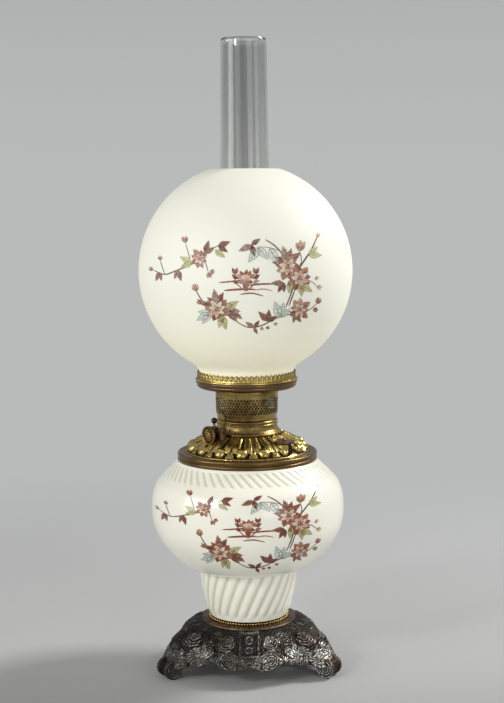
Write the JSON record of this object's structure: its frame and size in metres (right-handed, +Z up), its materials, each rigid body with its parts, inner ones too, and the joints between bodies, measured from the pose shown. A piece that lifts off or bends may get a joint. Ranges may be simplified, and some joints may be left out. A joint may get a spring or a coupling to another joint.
{
  "type": "parlor lamp",
  "caption": "Kerosene parlor lamp: footed openwork base, glass vase, lift-out oil font with centre draught burner, geared wick key, glass chimney and ball shade.",
  "frame": {"origin": "floor under the middle of the base, on the lamp's upright axis", "axes": "+Z up along the chimney; the front face of the base, between two of its feet, looks along -Y"},
  "size_m": [0.2282, 0.2282, 0.6754],
  "materials": {
    "cast_metal": "dark bronzed casting with worn silvery highlights",
    "brass": "aged polished brass with brown recesses",
    "dark_brass": "dark aged brass",
    "copper_brass": "reddish brown aged brass",
    "steel": "plain steel",
    "opal_glass": "glossy opaque ivory glass with painted blossoms",
    "satin_glass": "satin opaque ivory glass with painted blossoms",
    "clear_glass": "clear glossy glass",
    "cotton": "woven cotton"
  },
  "bodies": {
    "stand": {"cast_base": "cast_metal", "beaded_ring": "brass", "vase": "opal_glass", "collar_ring": "dark_brass", "clamp_plate": "brass", "clamp_rod": "steel", "clamp_washer": "steel", "lower_nut": "steel", "upper_nut": "steel"},
    "font": {"font_bowl": "brass", "font_top": "brass", "draught_tube": "brass", "wick_tube": "brass", "burner_collar": "brass", "filler_neck": "brass", "gear_case": "dark_brass", "packing_nut": "brass", "case_screw": "dark_brass"},
    "filler_cap": {"filler_cap": "dark_brass"},
    "key": {"key_shaft": "brass", "pinion": "brass", "thumbwheel": "brass"},
    "wick_raiser": {"rack_rod": "brass", "rack_knob": "dark_brass", "wick_carrier": "brass", "wick": "cotton"},
    "flame_spreader": {"flame_spreader": "brass"},
    "burner": {"burner_gallery": "brass", "shade_ring": "copper_brass", "shade_crown": "brass", "flame_cone": "brass", "chimney_prong_1": "brass", "chimney_prong_2": "brass", "chimney_prong_3": "brass", "chimney_prong_4": "brass"},
    "chimney": {"chimney": "clear_glass"},
    "shade": {"shade": "satin_glass"}
  },
  "joints": [
    {"name": "font_lift", "type": "slide", "parent": "stand", "child": "font", "axis": [0, 0, 1], "range_m": [0, 0.1]},
    {"name": "filler_cap_lift", "type": "slide", "parent": "font", "child": "filler_cap", "axis": [0, 0, 1], "range_m": [0, 0.02]},
    {"name": "wick_lift", "type": "slide", "parent": "font", "child": "wick_raiser", "axis": [0, 0, 1], "range_m": [-0.003, 0.014]},
    {"name": "key_turn", "type": "hinge", "parent": "font", "child": "key", "pos_m": [0, 0, 0.2587], "axis": [-0.766, -0.6428, 0], "range_deg": [-232, 50]},
    {"name": "spreader_lift", "type": "slide", "parent": "font", "child": "flame_spreader", "axis": [0, 0, 1], "range_m": [0, 0.02]},
    {"name": "burner_lift", "type": "slide", "parent": "font", "child": "burner", "axis": [0, 0, 1], "range_m": [0, 0.06]},
    {"name": "chimney_lift", "type": "slide", "parent": "burner", "child": "chimney", "axis": [0, 0, 1], "range_m": [0, 0.24]},
    {"name": "shade_lift", "type": "slide", "parent": "burner", "child": "shade", "axis": [0, 0, 1], "range_m": [0, 0.37]}
  ],
  "couplings": [
    {"joint": "key_turn", "follows": "wick_lift", "rad_per_m": -285.71}
  ]
}
